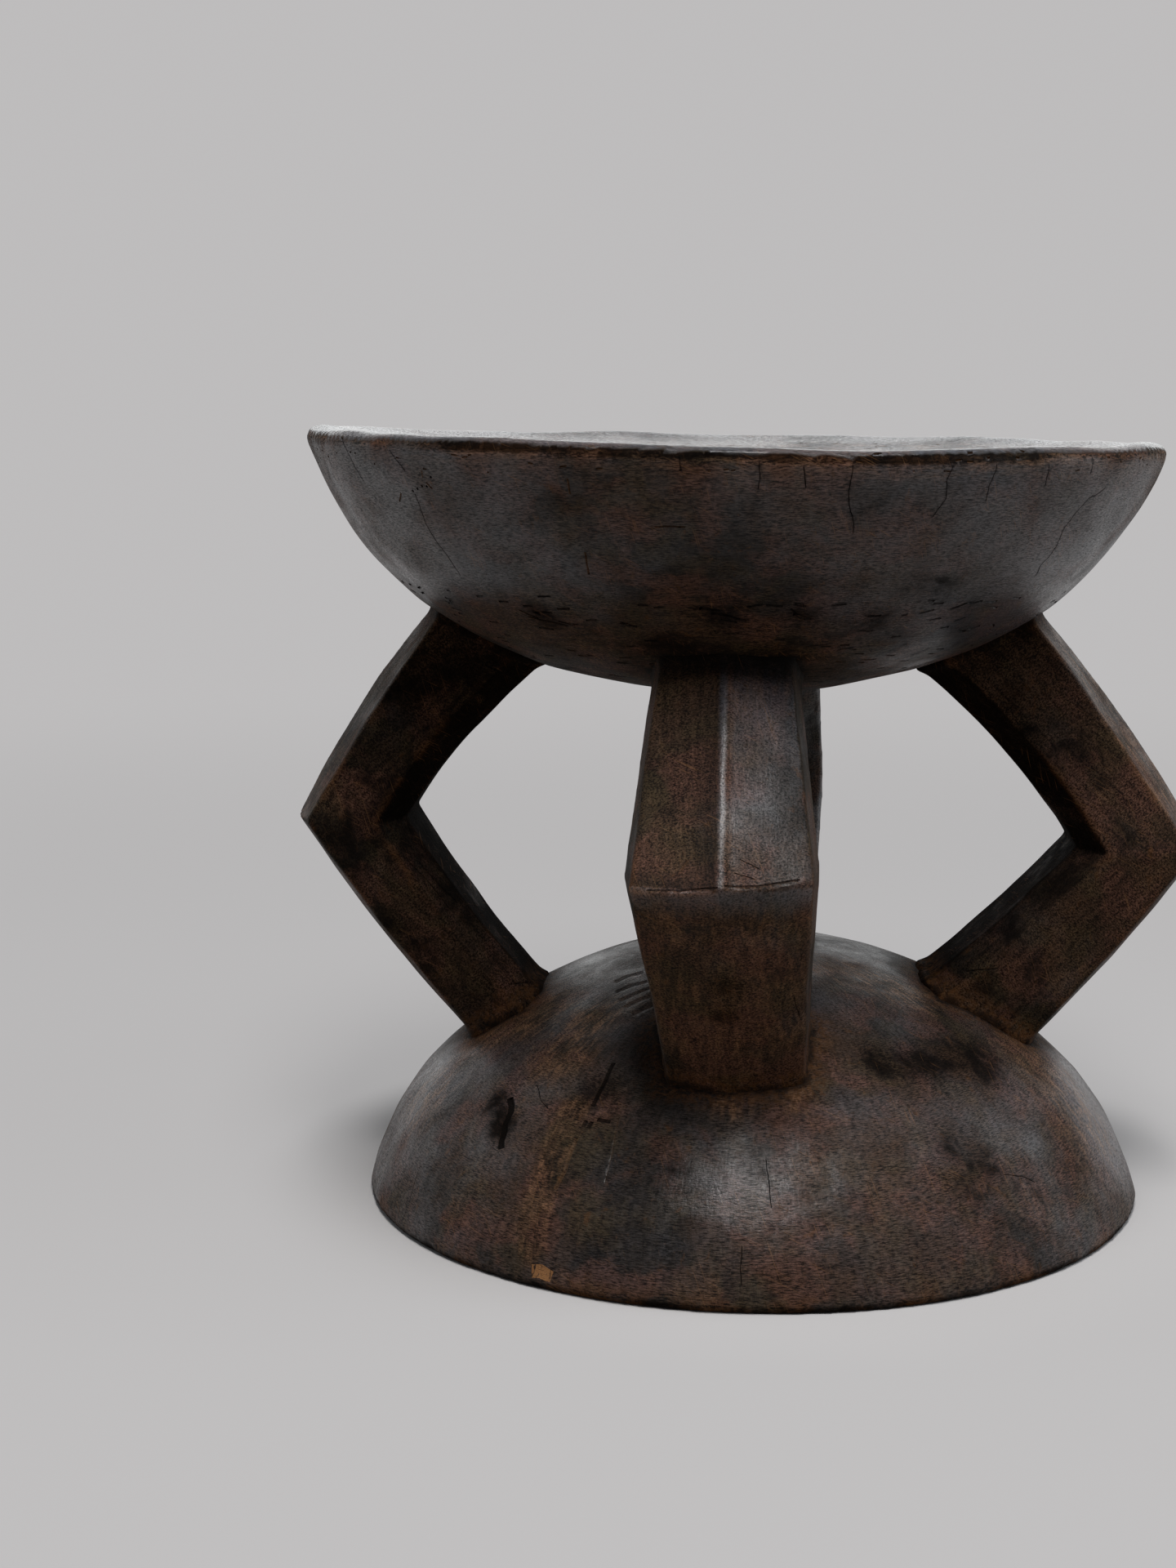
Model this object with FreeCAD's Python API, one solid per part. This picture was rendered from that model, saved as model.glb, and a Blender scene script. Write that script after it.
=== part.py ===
import FreeCAD, Part
import math
import os

# Hand-carved stool: a bowl-shaped seat on four bent legs that stand on a round domed base.
# Millimetres, +Z up, origin at the centre of the base's flat underside, viewer's side at -Y.
os.makedirs("parts", exist_ok=True)
Vector = FreeCAD.Vector

# Seat: a bowl with a flat rim and a shallow dish. Carved by eye, it sits off centre and tilted.
rim_height = 299.5
seat_radius = 166.6
rim_land = 9.0
rim_round = 4.0
dish_depth = 15.0
bowl_depth = 98.5
bowl_crown_radius = 246.0
bowl_crown_turn = 21.3
seat_shift = -9.3
seat_tilt = 0.8

# Base: a dome with a steep edge and a flat underside.
base_radius = 154.8
base_height = 99.0
dome_crown_radius = 190.0
dome_crown_turn = 38.0
floor_round = 1.5

# Legs: the head is buried head_rise above the bowl's lowest point, the foot foot_drop below the dome's top.
head_rise = 44.0
foot_drop = 54.0

# How far the lines of a leg bow outwards, halfway between its ends.
upper_outer_bow = 4.5
upper_inner_bow = 13.5
lower_outer_bow = 4.5
lower_inner_bow = 6.5

# Widths across a leg: outer corners, widest line of the sides, flat strip on the inner side.
head_width = (41.5, 47.0, 26.0)
knee_width = (61.0, 67.5, 34.0)
foot_width = (44.0, 48.5, 28.0)

# How far the outer side swells between its corners: a ridge above the knee, a round below it.
head_crown = 5.0
upper_crown = 9.0
knee_crown = 8.0
lower_crown = 7.5
foot_crown = 6.0

# Bevels along the inner corners.
head_bevel = 18.0
knee_bevel = 9.5
foot_bevel = 12.0

# Each leg: direction, height of the knee, and slope of its edge from side to side. At head, knee and foot:
# reach of the outer line from the stool's axis, thickness inwards from there, and drift along X.
legs = {
    "front_leg": {
        "azimuth": -90.0,
        "knee_height": 151.5,
        "knee_slope": 0.07,
        "head": (85.0, 72.0, -10.0),
        "knee": (165.0, 48.0, -10.5),
        "foot": (87.0, 62.0, -3.5),
    },
    "right_leg": {
        "azimuth": 0.0,
        "knee_height": 141.5,
        "knee_slope": 0.0,
        "head": (108.5, 84.0, -9.0),
        "knee": (179.0, 50.0, -2.5),
        "foot": (95.5, 80.0, -1.0),
    },
    "rear_leg": {
        "azimuth": 90.0,
        "knee_height": 146.5,
        "knee_slope": 0.0,
        "head": (96.0, 77.0, 2.0),
        "knee": (173.0, 48.0, -2.0),
        "foot": (92.0, 65.0, 0.0),
    },
    "left_leg": {
        "azimuth": 180.0,
        "knee_height": 150.5,
        "knee_slope": 0.0,
        "head": (108.5, 84.0, -9.0),
        "knee": (180.5, 45.0, -2.0),
        "foot": (97.0, 48.0, -1.0),
    },
}


def crowned_edges(pole, crown_radius, crown_turn, end):
    """Two tangent arcs in the XZ plane: a shallow crown about the axis, then a flank out to end."""
    side = 1.0 if end.z > pole.z else -1.0
    turn = math.radians(crown_turn)

    def on_crown(angle):
        lift = crown_radius * (1.0 - math.cos(angle))
        return Vector(crown_radius * math.sin(angle), 0, pole.z + side * lift)

    meet = on_crown(turn)
    inward = Vector(-math.sin(turn), 0, side * math.cos(turn))
    reach = end - meet
    flank_radius = reach.dot(reach) / (2.0 * reach.dot(inward))
    centre = meet + inward * flank_radius
    bisector = (meet - centre) + (end - centre)
    halfway = centre + bisector.normalize() * flank_radius
    crown = Part.Arc(pole, on_crown(turn / 2.0), meet).toShape()
    flank = Part.Arc(meet, halfway, end).toShape()
    return [crown, flank]


def turned(edges):
    """Solid of revolution about the Z axis from a closed outline in the XZ plane."""
    outline = Part.Wire(Part.__sortEdges__(edges))
    return Part.Face(outline).revolve(Vector(0, 0, 0), Vector(0, 0, 1), 360)


def rounded(shape, radius, corner):
    """Rounds the full circle that starts at corner."""
    circles = [edge for edge in shape.Edges if len(edge.Vertexes) == 1]
    ring = [edge for edge in circles if edge.Vertexes[0].Point.isEqual(corner, Part.Precision.confusion())]
    return shape.makeFillet(radius, ring)


def make_seat():
    pole = Vector(0, 0, -bowl_depth)
    rim = Vector(seat_radius, 0, 0)
    lip = Vector(seat_radius - rim_land, 0, 0)
    dish = Vector(0, 0, -dish_depth)
    dish_radius = (lip.x ** 2 + dish_depth ** 2) / (2.0 * dish_depth)
    half_turn = math.asin(lip.x / dish_radius) / 2.0
    half_lift = dish_radius * (1.0 - math.cos(half_turn))
    dish_middle = Vector(dish_radius * math.sin(half_turn), 0, half_lift - dish_depth)
    edges = crowned_edges(pole, bowl_crown_radius, bowl_crown_turn, rim)
    edges.append(Part.makeLine(rim, lip))
    edges.append(Part.Arc(lip, dish_middle, dish).toShape())
    edges.append(Part.makeLine(dish, pole))
    seat = rounded(turned(edges), rim_round, rim)
    seat.rotate(Vector(0, 0, 0), Vector(0, 1, 0), seat_tilt)
    seat.translate(Vector(seat_shift, 0, rim_height))
    return seat


def make_base():
    pole = Vector(0, 0, base_height)
    edge = Vector(base_radius, 0, 0)
    centre = Vector(0, 0, 0)
    edges = crowned_edges(pole, dome_crown_radius, dome_crown_turn, edge)
    edges.append(Part.makeLine(edge, centre))
    edges.append(Part.makeLine(centre, pole))
    return rounded(turned(edges), floor_round, edge)


def leg_section(outer, inner, widths, crown, bevel, height, drift, slope, ridged, azimuth):
    """Section of a leg: outer side ridged or rounded, flat sides, bevelled inner corners."""
    corner_width, side_width, strip_width = widths
    angle = math.radians(azimuth)

    def at(reach, across):
        x = reach * math.cos(angle) - across * math.sin(angle)
        y = reach * math.sin(angle) + across * math.cos(angle)
        return Vector(x + drift, y, height + slope * across)

    middle = at(outer, 0.0)
    first = at(outer - crown, -corner_width / 2.0)
    last = at(outer - crown, corner_width / 2.0)
    around = [
        last,
        at(inner + bevel, side_width / 2.0),
        at(inner, strip_width / 2.0),
        at(inner, -strip_width / 2.0),
        at(inner + bevel, -side_width / 2.0),
        first,
    ]
    if ridged:
        edges = [Part.makeLine(first, middle), Part.makeLine(middle, last)]
    else:
        edges = [Part.Arc(first, middle, last).toShape()]
    edges += [Part.makeLine(a, b) for a, b in zip(around, around[1:])]
    return Part.Wire(edges)


def mean(a, b):
    return (a + b) / 2.0


def leg_half(end, knee, outer_bow, inner_bow, crown, ridged, azimuth):
    """Half of a leg, lofted from its buried end through the bowed middle to the knee."""
    middle = {
        "outer": mean(end["outer"], knee["outer"]) + outer_bow,
        "inner": mean(end["inner"], knee["inner"]) + inner_bow,
        "widths": [mean(a, b) for a, b in zip(end["widths"], knee["widths"])],
        "crown": crown,
        "bevel": mean(end["bevel"], knee["bevel"]),
        "height": mean(end["height"], knee["height"]),
        "drift": mean(end["drift"], knee["drift"]),
        "slope": mean(end["slope"], knee["slope"]),
    }
    stations = (end, middle, knee)
    wires = [leg_section(ridged=ridged, azimuth=azimuth, **station) for station in stations]
    return Part.makeLoft(wires, True, False)


def leg_station(place, widths, crown, bevel, height, slope):
    reach, thickness, drift = place
    return {
        "outer": reach,
        "inner": reach - thickness,
        "widths": widths,
        "crown": crown,
        "bevel": bevel,
        "height": height,
        "drift": drift,
        "slope": slope,
    }


def make_leg(azimuth, knee_height, knee_slope, head, knee, foot, seat, base):
    """One bent leg, trimmed where its head meets the bowl and its foot meets the dome."""
    head_height = rim_height - bowl_depth + head_rise
    foot_height = base_height - foot_drop
    top = leg_station(head, head_width, head_crown, head_bevel, head_height, 0.0)
    bend = leg_station(knee, knee_width, knee_crown, knee_bevel, knee_height, knee_slope)
    bottom = leg_station(foot, foot_width, foot_crown, foot_bevel, foot_height, 0.0)
    upper = leg_half(top, bend, upper_outer_bow, upper_inner_bow, upper_crown, True, azimuth)
    lower = leg_half(bottom, bend, lower_outer_bow, lower_inner_bow, lower_crown, False, azimuth)
    return upper.fuse(lower).cut(seat).cut(base)


seat = make_seat()
base = make_base()
pieces = {"seat": seat, "base": base}
for name, leg in legs.items():
    pieces[name] = make_leg(seat=seat, base=base, **leg)

for name, shape in pieces.items():
    print(name, len(shape.Solids), shape.isValid(), round(shape.Volume / 1000.0, 1), "cm3")
    shape.exportStep("parts/" + name + ".step")
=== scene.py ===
import math

import bpy
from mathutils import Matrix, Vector


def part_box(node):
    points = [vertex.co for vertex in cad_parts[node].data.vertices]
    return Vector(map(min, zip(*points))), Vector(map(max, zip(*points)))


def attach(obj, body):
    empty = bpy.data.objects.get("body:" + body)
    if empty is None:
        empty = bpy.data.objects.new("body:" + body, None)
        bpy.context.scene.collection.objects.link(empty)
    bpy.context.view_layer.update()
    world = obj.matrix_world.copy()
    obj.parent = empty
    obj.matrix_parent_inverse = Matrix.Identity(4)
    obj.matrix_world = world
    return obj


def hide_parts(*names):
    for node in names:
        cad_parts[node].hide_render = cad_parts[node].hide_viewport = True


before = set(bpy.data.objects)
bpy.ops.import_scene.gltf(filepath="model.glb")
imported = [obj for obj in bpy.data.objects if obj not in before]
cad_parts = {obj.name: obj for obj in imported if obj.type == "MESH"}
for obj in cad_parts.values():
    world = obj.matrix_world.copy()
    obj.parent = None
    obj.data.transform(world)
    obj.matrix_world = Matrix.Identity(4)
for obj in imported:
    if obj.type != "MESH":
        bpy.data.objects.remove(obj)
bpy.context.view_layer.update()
mm = 0.001

# The base: the round foot of the block, hewn to a dome and flat underneath so that the stool stands firm.
# It is dark close-grained wood, cut with an adze and a knife, then rubbed glossy by years of handling.
# Shrinkage has split it in places, and knocks have left bare chips and dark scars.


def add(tree, kind, inputs=None, **settings):
    """Adds a node, sets its options, and fills its sockets with values or with links from other nodes."""
    node = tree.nodes.new(kind)
    for option, value in settings.items():
        setattr(node, option, value)
    for socket, value in (inputs or {}).items():
        if isinstance(value, bpy.types.NodeSocket):
            tree.links.new(value, node.inputs[socket])
        else:
            node.inputs[socket].default_value = value
    return node


def maths(tree, operation, *values, clamp=False):
    node = add(tree, "ShaderNodeMath", dict(enumerate(values)), operation=operation, use_clamp=clamp)
    return node.outputs[0]


def vectors(tree, operation, *values):
    sockets = dict(enumerate(values))
    if operation == "SCALE":
        sockets = {0: values[0], "Scale": values[1]}
    node = add(tree, "ShaderNodeVectorMath", sockets, operation=operation)
    return node.outputs["Value" if operation == "DOT_PRODUCT" else "Vector"]


def eased(tree, value, low, high):
    """0 below low, 1 above high, and a smooth rise between them."""
    sockets = {"Value": value, "From Min": low, "From Max": high}
    return add(tree, "ShaderNodeMapRange", sockets, interpolation_type="SMOOTHSTEP").outputs["Result"]


def new_tree(name, **inputs):
    """An empty geometry tree with the given named inputs, and its group input and output nodes."""
    tree = bpy.data.node_groups.new(name, "GeometryNodeTree")
    tree.interface.new_socket("Geometry", in_out="INPUT", socket_type="NodeSocketGeometry")
    for label, kind in inputs.items():
        tree.interface.new_socket(label, in_out="INPUT", socket_type="NodeSocket" + kind)
    tree.interface.new_socket("Geometry", in_out="OUTPUT", socket_type="NodeSocketGeometry")
    return tree, tree.nodes.new("NodeGroupInput").outputs, tree.nodes.new("NodeGroupOutput").inputs


def blurred(tree, value, passes):
    """A vector of every point, evened out with its neighbours a number of times."""
    sockets = {"Value": value, "Iterations": passes}
    return add(tree, "GeometryNodeBlurAttribute", sockets, data_type="FLOAT_VECTOR").outputs[0]


def moved(tree, geometry, **to):
    """Moves every point by an Offset or to a Position."""
    return add(tree, "GeometryNodeSetPosition", {"Geometry": geometry, **to}).outputs[0]


def kept(tree, geometry, label, value, domain):
    """Keeps a number on every point or face, under a label that the wood reads."""
    sockets = {"Geometry": geometry, "Name": label, "Value": value}
    node = add(tree, "GeometryNodeStoreNamedAttribute", sockets, data_type="FLOAT", domain=domain)
    return node.outputs[0]


def nearest_face(tree, geometry):
    return add(tree, "GeometryNodeProximity", {"Geometry": geometry}, target_element="FACES").outputs


def hand_over(tree, geometry, finish, result):
    """Ends a tree: makes its instances real and gives everything one material."""
    real = add(tree, "GeometryNodeRealizeInstances", {"Geometry": geometry}).outputs[0]
    dressed = add(tree, "GeometryNodeSetMaterial", {"Geometry": real, "Material": finish}).outputs[0]
    tree.links.new(dressed, result[0])


def carving_tree():
    """Softens a member's edges, gives its skin the waver and facets of hand carving, and flares its seams."""
    tree, given, result = new_tree(
        "hand_carving",
        softening="Int",
        wave_height="Float",
        wave_length="Float",
        facet_depth="Float",
        facet_width="Float",
        facet_shape="Vector",
        seed="Float",
        neighbours="Object",
        flare_depth="Float",
        flare_reach="Float",
        finish="Material",
    )
    worn_passes, worn_height = 24, 1.2 * mm
    seam_reach, floor_band = 22 * mm, 5 * mm
    facet_blend = 0.35
    place = add(tree, "GeometryNodeInputPosition").outputs[0]
    normal = add(tree, "GeometryNodeInputNormal").outputs[0]

    soft = moved(tree, given["Geometry"], Position=blurred(tree, place, given["softening"]))
    bulge = vectors(tree, "SUBTRACT", place, blurred(tree, place, worn_passes))
    bulge = vectors(tree, "DOT_PRODUCT", bulge, normal)
    soft = kept(tree, soft, "worn", maths(tree, "DIVIDE", bulge, worn_height, clamp=True), "POINT")

    other = add(tree, "GeometryNodeObjectInfo", {"Object": given["neighbours"]}).outputs["Geometry"]
    gap = nearest_face(tree, other)["Distance"]
    seam = maths(tree, "SUBTRACT", 1.0, eased(tree, gap, 0.0, seam_reach))
    soft = kept(tree, soft, "seam", seam, "POINT")
    closeness = maths(tree, "SUBTRACT", 1.0, maths(tree, "DIVIDE", gap, given["flare_reach"]), clamp=True)
    flare = maths(tree, "MULTIPLY", maths(tree, "POWER", closeness, 2.0), given["flare_depth"])

    waver = add(
        tree,
        "ShaderNodeTexNoise",
        {"Scale": maths(tree, "DIVIDE", 1.0, given["wave_length"]), "W": given["seed"], "Detail": 1.0},
        noise_dimensions="4D",
    )
    wave = maths(tree, "MULTIPLY", maths(tree, "SUBTRACT", waver.outputs[0], 0.5), given["wave_height"])
    cell = add(
        tree,
        "ShaderNodeTexVoronoi",
        {
            "Vector": vectors(tree, "MULTIPLY", place, given["facet_shape"]),
            "Scale": maths(tree, "DIVIDE", 1.0, given["facet_width"]),
            "W": given["seed"],
            "Smoothness": facet_blend,
        },
        voronoi_dimensions="4D",
        feature="SMOOTH_F1",
    )
    facet = maths(tree, "MULTIPLY", maths(tree, "POWER", cell.outputs["Distance"], 2.0), given["facet_depth"])
    height = add(tree, "ShaderNodeSeparateXYZ", {0: place}).outputs["Z"]
    off_floor = eased(tree, height, 0.0, floor_band)
    carved = maths(tree, "MULTIPLY", maths(tree, "ADD", wave, facet), off_floor)
    offset = vectors(tree, "SCALE", normal, maths(tree, "ADD", carved, flare))
    smooth = add(tree, "GeometryNodeSetShadeSmooth", {"Geometry": moved(tree, soft, Offset=offset)})
    hand_over(tree, smooth.outputs[0], given["finish"], result)
    return tree


def cutting_tree():
    """Turns lines drawn on a member, and strokes strewn over a band of it, into slender wedges to cut."""
    tree, given, result = new_tree(
        "knife_cuts",
        skin="Object",
        width="Float",
        depth="Float",
        wander="Float",
        strewn_density="Float",
        strewn_low="Float",
        strewn_high="Float",
        strewn_length="Float",
        seed="Int",
        mark="String",
        shade="Float",
        finish="Material",
    )
    step, wander_length, ragged_length, proud, tip = 0.9 * mm, 6 * mm, 2.5 * mm, 1.0 * mm, 0.08
    lean_least, lean_most = (-0.25, -0.25, -0.25), (0.25, 0.25, 0.25)
    shortest, longest = 0.35, 1.3
    ragged_swing, ragged_least = 2.4, -0.2
    skin = add(tree, "GeometryNodeObjectInfo", {"Object": given["skin"]}).outputs["Geometry"]
    place = add(tree, "GeometryNodeInputPosition").outputs[0]
    normal = add(tree, "GeometryNodeInputNormal").outputs[0]

    height = add(tree, "ShaderNodeSeparateXYZ", {0: place}).outputs["Z"]
    above = maths(tree, "GREATER_THAN", height, given["strewn_low"])
    below = maths(tree, "LESS_THAN", height, given["strewn_high"])
    scatter = add(
        tree,
        "GeometryNodeDistributePointsOnFaces",
        {
            "Mesh": skin,
            "Selection": maths(tree, "MULTIPLY", above, below),
            "Density": given["strewn_density"],
            "Seed": given["seed"],
        },
        distribute_method="RANDOM",
    )
    along = vectors(tree, "CROSS_PRODUCT", (0.0, 0.0, 1.0), scatter.outputs["Normal"])
    lean = add(
        tree,
        "FunctionNodeRandomValue",
        {"Min": lean_least, "Max": lean_most, "Seed": given["seed"]},
        data_type="FLOAT_VECTOR",
    )
    heading = vectors(tree, "ADD", vectors(tree, "NORMALIZE", along), lean.outputs[0])
    turn = add(tree, "FunctionNodeAlignRotationToVector", {"Vector": heading}, axis="X")
    half = maths(tree, "MULTIPLY", given["strewn_length"], 0.5)
    reach = add(tree, "ShaderNodeCombineXYZ", {"X": half}).outputs[0]
    back = add(tree, "ShaderNodeCombineXYZ", {"X": maths(tree, "MULTIPLY", half, -1.0)}).outputs[0]
    stroke = add(
        tree,
        "GeometryNodeMeshLine",
        {"Count": 2, "Start Location": back, "Offset": reach},
        mode="END_POINTS",
        count_mode="TOTAL",
    )
    sizes = {2: shortest, 3: longest, "Seed": given["seed"]}
    size = add(tree, "FunctionNodeRandomValue", sizes, data_type="FLOAT")
    strokes = add(
        tree,
        "GeometryNodeInstanceOnPoints",
        {
            "Points": scatter.outputs["Points"],
            "Instance": stroke.outputs[0],
            "Rotation": turn.outputs[0],
            "Scale": size.outputs[1],
        },
    )
    strewn = add(tree, "GeometryNodeRealizeInstances", {"Geometry": strokes.outputs[0]})
    lines = add(tree, "GeometryNodeJoinGeometry")
    tree.links.new(given["Geometry"], lines.inputs[0])
    tree.links.new(strewn.outputs[0], lines.inputs[0])

    curves = add(tree, "GeometryNodeMeshToCurve", {"Mesh": lines.outputs[0]})
    sockets = {"Curve": curves.outputs[0], "Length": step}
    stepped = add(tree, "GeometryNodeResampleCurve", sockets, mode="LENGTH").outputs[0]
    drift = add(tree, "ShaderNodeTexNoise", {"Scale": 1.0 / wander_length, "Detail": 1.0})
    centred = vectors(tree, "SUBTRACT", drift.outputs["Color"], (0.5, 0.5, 0.5))
    strayed = moved(tree, stepped, Offset=vectors(tree, "SCALE", centred, given["wander"]))
    seated = moved(tree, strayed, Position=nearest_face(tree, skin)["Position"])
    outward = add(
        tree,
        "GeometryNodeSampleNearestSurface",
        {"Mesh": skin, "Value": normal, "Sample Position": place},
        data_type="FLOAT_VECTOR",
    )
    sockets = {"Curve": seated, "Normal": outward.outputs[0]}
    turned = add(tree, "GeometryNodeSetCurveNormal", sockets, mode="FREE")
    along_line = add(tree, "GeometryNodeSplineParameter").outputs["Factor"]
    swell = maths(tree, "SINE", maths(tree, "MULTIPLY", along_line, math.pi))
    taper = maths(tree, "ADD", maths(tree, "MULTIPLY", swell, 1.0 - tip), tip)
    ragged = add(tree, "ShaderNodeTexNoise", {"Scale": 1.0 / ragged_length, "Detail": 1.0}).outputs[0]
    ragged = maths(tree, "MULTIPLY_ADD", ragged, ragged_swing, ragged_least)
    sized = add(
        tree,
        "GeometryNodeSetCurveRadius",
        {"Curve": turned.outputs[0], "Radius": maths(tree, "MULTIPLY", taper, ragged)},
    )
    wedge = add(
        tree,
        "GeometryNodeCurvePrimitiveQuadrilateral",
        {"Width": given["width"], "Bottom Height": given["depth"], "Top Height": proud},
        mode="KITE",
    )
    upright = add(
        tree,
        "GeometryNodeTransform",
        {"Geometry": wedge.outputs[0], "Rotation": (0.0, 0.0, -math.pi / 2)},
    )
    blades = add(
        tree,
        "GeometryNodeCurveToMesh",
        {"Curve": sized.outputs[0], "Profile Curve": upright.outputs[0], "Fill Caps": True},
    )
    marked = kept(tree, blades.outputs[0], given["mark"], given["shade"], "FACE")
    hand_over(tree, marked, given["finish"], result)
    return tree


def shape_with(member, tree, **inputs):
    """Puts a geometry tree on an object and sets the tree's named inputs."""
    modifier = member.modifiers.new(tree.name, "NODES")
    modifier.node_group = tree
    for label, value in inputs.items():
        modifier[tree.interface.items_tree[label].identifier] = value


def placed(name, mesh):
    thing = bpy.data.objects.new(name, mesh)
    bpy.context.scene.collection.objects.link(thing)
    return thing


def settled(member):
    """Replaces an object's mesh by the one that its modifiers make, and removes them."""
    evaluated = member.evaluated_get(bpy.context.evaluated_depsgraph_get())
    mesh = bpy.data.meshes.new_from_object(evaluated)
    member.modifiers.clear()
    member.data = mesh


def neighbours_of(name, nodes):
    """One mesh of the members that a member meets, to find its seams by."""
    points, faces = [], []
    for node in nodes:
        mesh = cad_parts[node].data
        start = len(points)
        points += [v.co.copy() for v in mesh.vertices]
        faces += [[start + i for i in face.vertices] for face in mesh.polygons]
    mesh = bpy.data.meshes.new(name + "_neighbours")
    mesh.from_pydata(points, [], faces)
    return placed(mesh.name, mesh)


def roughed_out(name, node, net, bend=None):
    """The member as first hewn: a closed copy of its solid, skinned with an even net of small faces."""
    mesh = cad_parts[node].data.copy()
    mesh.materials.clear()
    member = placed(name, mesh)
    weld = member.modifiers.new("weld", "WELD")
    weld.merge_threshold = 0.01 * mm
    settled(member)
    if bend:
        for vertex in member.data.vertices:
            vertex.co.z += bend(vertex.co)
    skin = member.modifiers.new("net", "REMESH")
    skin.mode = "VOXEL"
    skin.voxel_size = net
    return member


def on_front(node, x, z, side=-1):
    """The point of a member's solid straight ahead of (x, z) millimetres, seen from the front, or behind."""
    start = Vector((x * mm, side * 1.0, z * mm))
    hit, point, _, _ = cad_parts[node].ray_cast(start, Vector((0.0, -side, 0.0)))
    if not hit:
        raise ValueError(f"{node} has nothing at x {x}, z {z}")
    return point


def cut(piece, node, finish, strokes, **inputs):
    """Cuts strokes, each a line of (x, z) millimetres seen from the front, into a piece."""
    points, edges = [], []
    for stroke in strokes:
        start = len(points)
        points += [on_front(node, *place) for place in stroke]
        edges += [(i, i + 1) for i in range(start, len(points) - 1)]
    mesh = bpy.data.meshes.new(piece.name + "_strokes")
    mesh.from_pydata(points, edges, [])
    blades = placed(mesh.name, mesh)
    settings = {"strewn_density": 0.0, "strewn_low": 0.0, "strewn_high": 0.0, "strewn_length": 0.0}
    settings.update(seed=1, wander=1 * mm, shade=1.0)
    settings.update(inputs)
    shape_with(blades, cutting, skin=piece, finish=finish, **settings)
    settled(blades)
    knife = piece.modifiers.new("cut", "BOOLEAN")
    knife.operation = "DIFFERENCE"
    knife.solver = "MANIFOLD"
    knife.object = blades
    settled(piece)
    bpy.data.objects.remove(blades)


def noise(
    tree,
    place,
    size,
    shift,
    detail=2.0,
    roughness=0.5,
    stretch=(1.0, 1.0, 1.0),
    turn=(0.0, 0.0, 0.0),
    socket=0,
):
    """Noise whose lumps are size across, drawn out by stretch along axes that are turned by turn."""
    turned = add(tree, "ShaderNodeMapping", {"Vector": place, "Rotation": turn})
    scale = tuple(1.0 / (size * s) for s in stretch)
    sockets = {"Vector": turned.outputs[0], "Location": (shift, shift, shift), "Scale": scale}
    scaled = add(tree, "ShaderNodeMapping", sockets)
    sockets = {"Vector": scaled.outputs[0], "Scale": 1.0, "Detail": detail, "Roughness": roughness}
    return add(tree, "ShaderNodeTexNoise", sockets).outputs[socket]


def over(tree, share, below, above):
    """Lays one colour over another by a share."""
    sockets = {0: share, 6: below, 7: above}
    return add(tree, "ShaderNodeMix", sockets, data_type="RGBA").outputs[2]


def share_of(tree, *values):
    """The product of several shares."""
    product = values[0]
    for value in values[1:]:
        product = maths(tree, "MULTIPLY", product, value)
    return product


def total(tree, start=0.0, **weights_and_values):
    """The sum of a start and several values, each given as a pair of weight and value."""
    result = start
    for weight, value in weights_and_values.values():
        result = maths(tree, "MULTIPLY_ADD", value, weight, result)
    return result


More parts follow.
